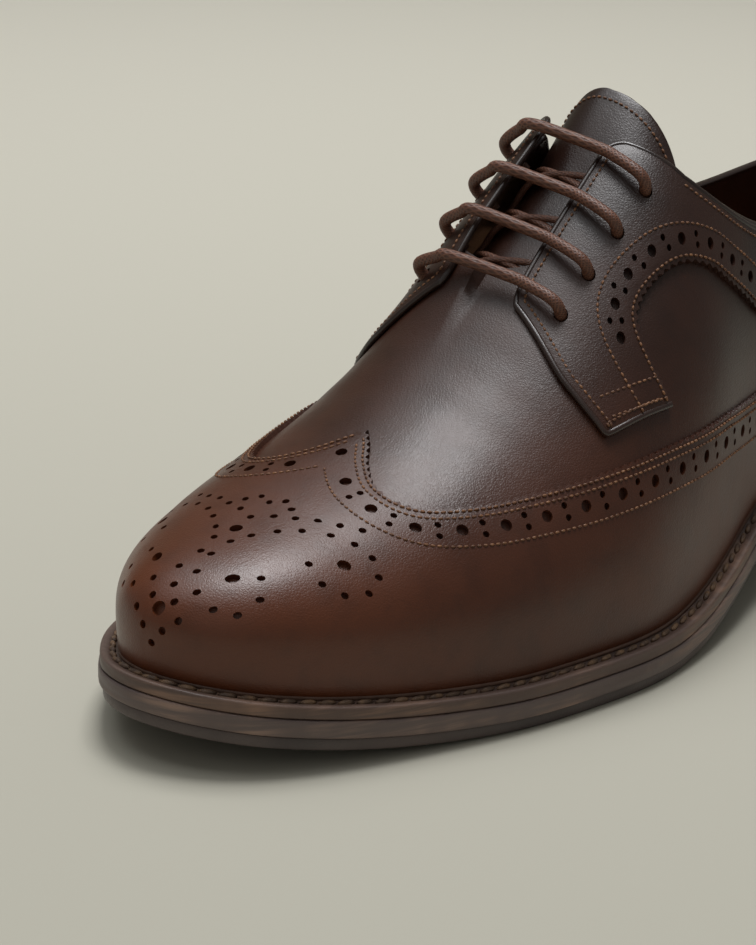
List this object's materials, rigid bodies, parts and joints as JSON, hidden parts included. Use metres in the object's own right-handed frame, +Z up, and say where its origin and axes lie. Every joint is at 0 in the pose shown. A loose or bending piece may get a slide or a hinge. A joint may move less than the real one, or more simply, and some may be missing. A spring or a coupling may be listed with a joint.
{
  "type": "wing-tipped derby shoe",
  "caption": "Brown leather long-wing derby shoe for the left foot, with open lacing, a welted sole and a stacked heel.",
  "frame": {"origin": "on the floor under the middle of the heel", "axes": "+Z up, the toe points to -Y and the back of the heel to +Y, +X is the outer side of the left foot"},
  "size_m": [0.1041, 0.3026, 0.1199],
  "materials": {
    "leather": "polished",
    "lining": "matte",
    "edge": "satin",
    "sole": "matte",
    "lace": "waxed",
    "inlay": "satin"
  },
  "bodies": {
    "root": {"upper": "leather", "wing_cap": "leather", "facing_lateral": "leather", "facing_medial": "leather", "backstay": "leather", "tongue": "leather", "insole": "lining", "outsole": "sole", "sole_inlay": "inlay", "heel_block": "edge", "heel_top_piece": "sole", "midsole": "edge", "welt": "edge", "lace_bar_1": "lace", "lace_bar_2": "lace", "lace_bar_3": "lace", "lace_bar_4": "lace"}
  },
  "joints": []
}
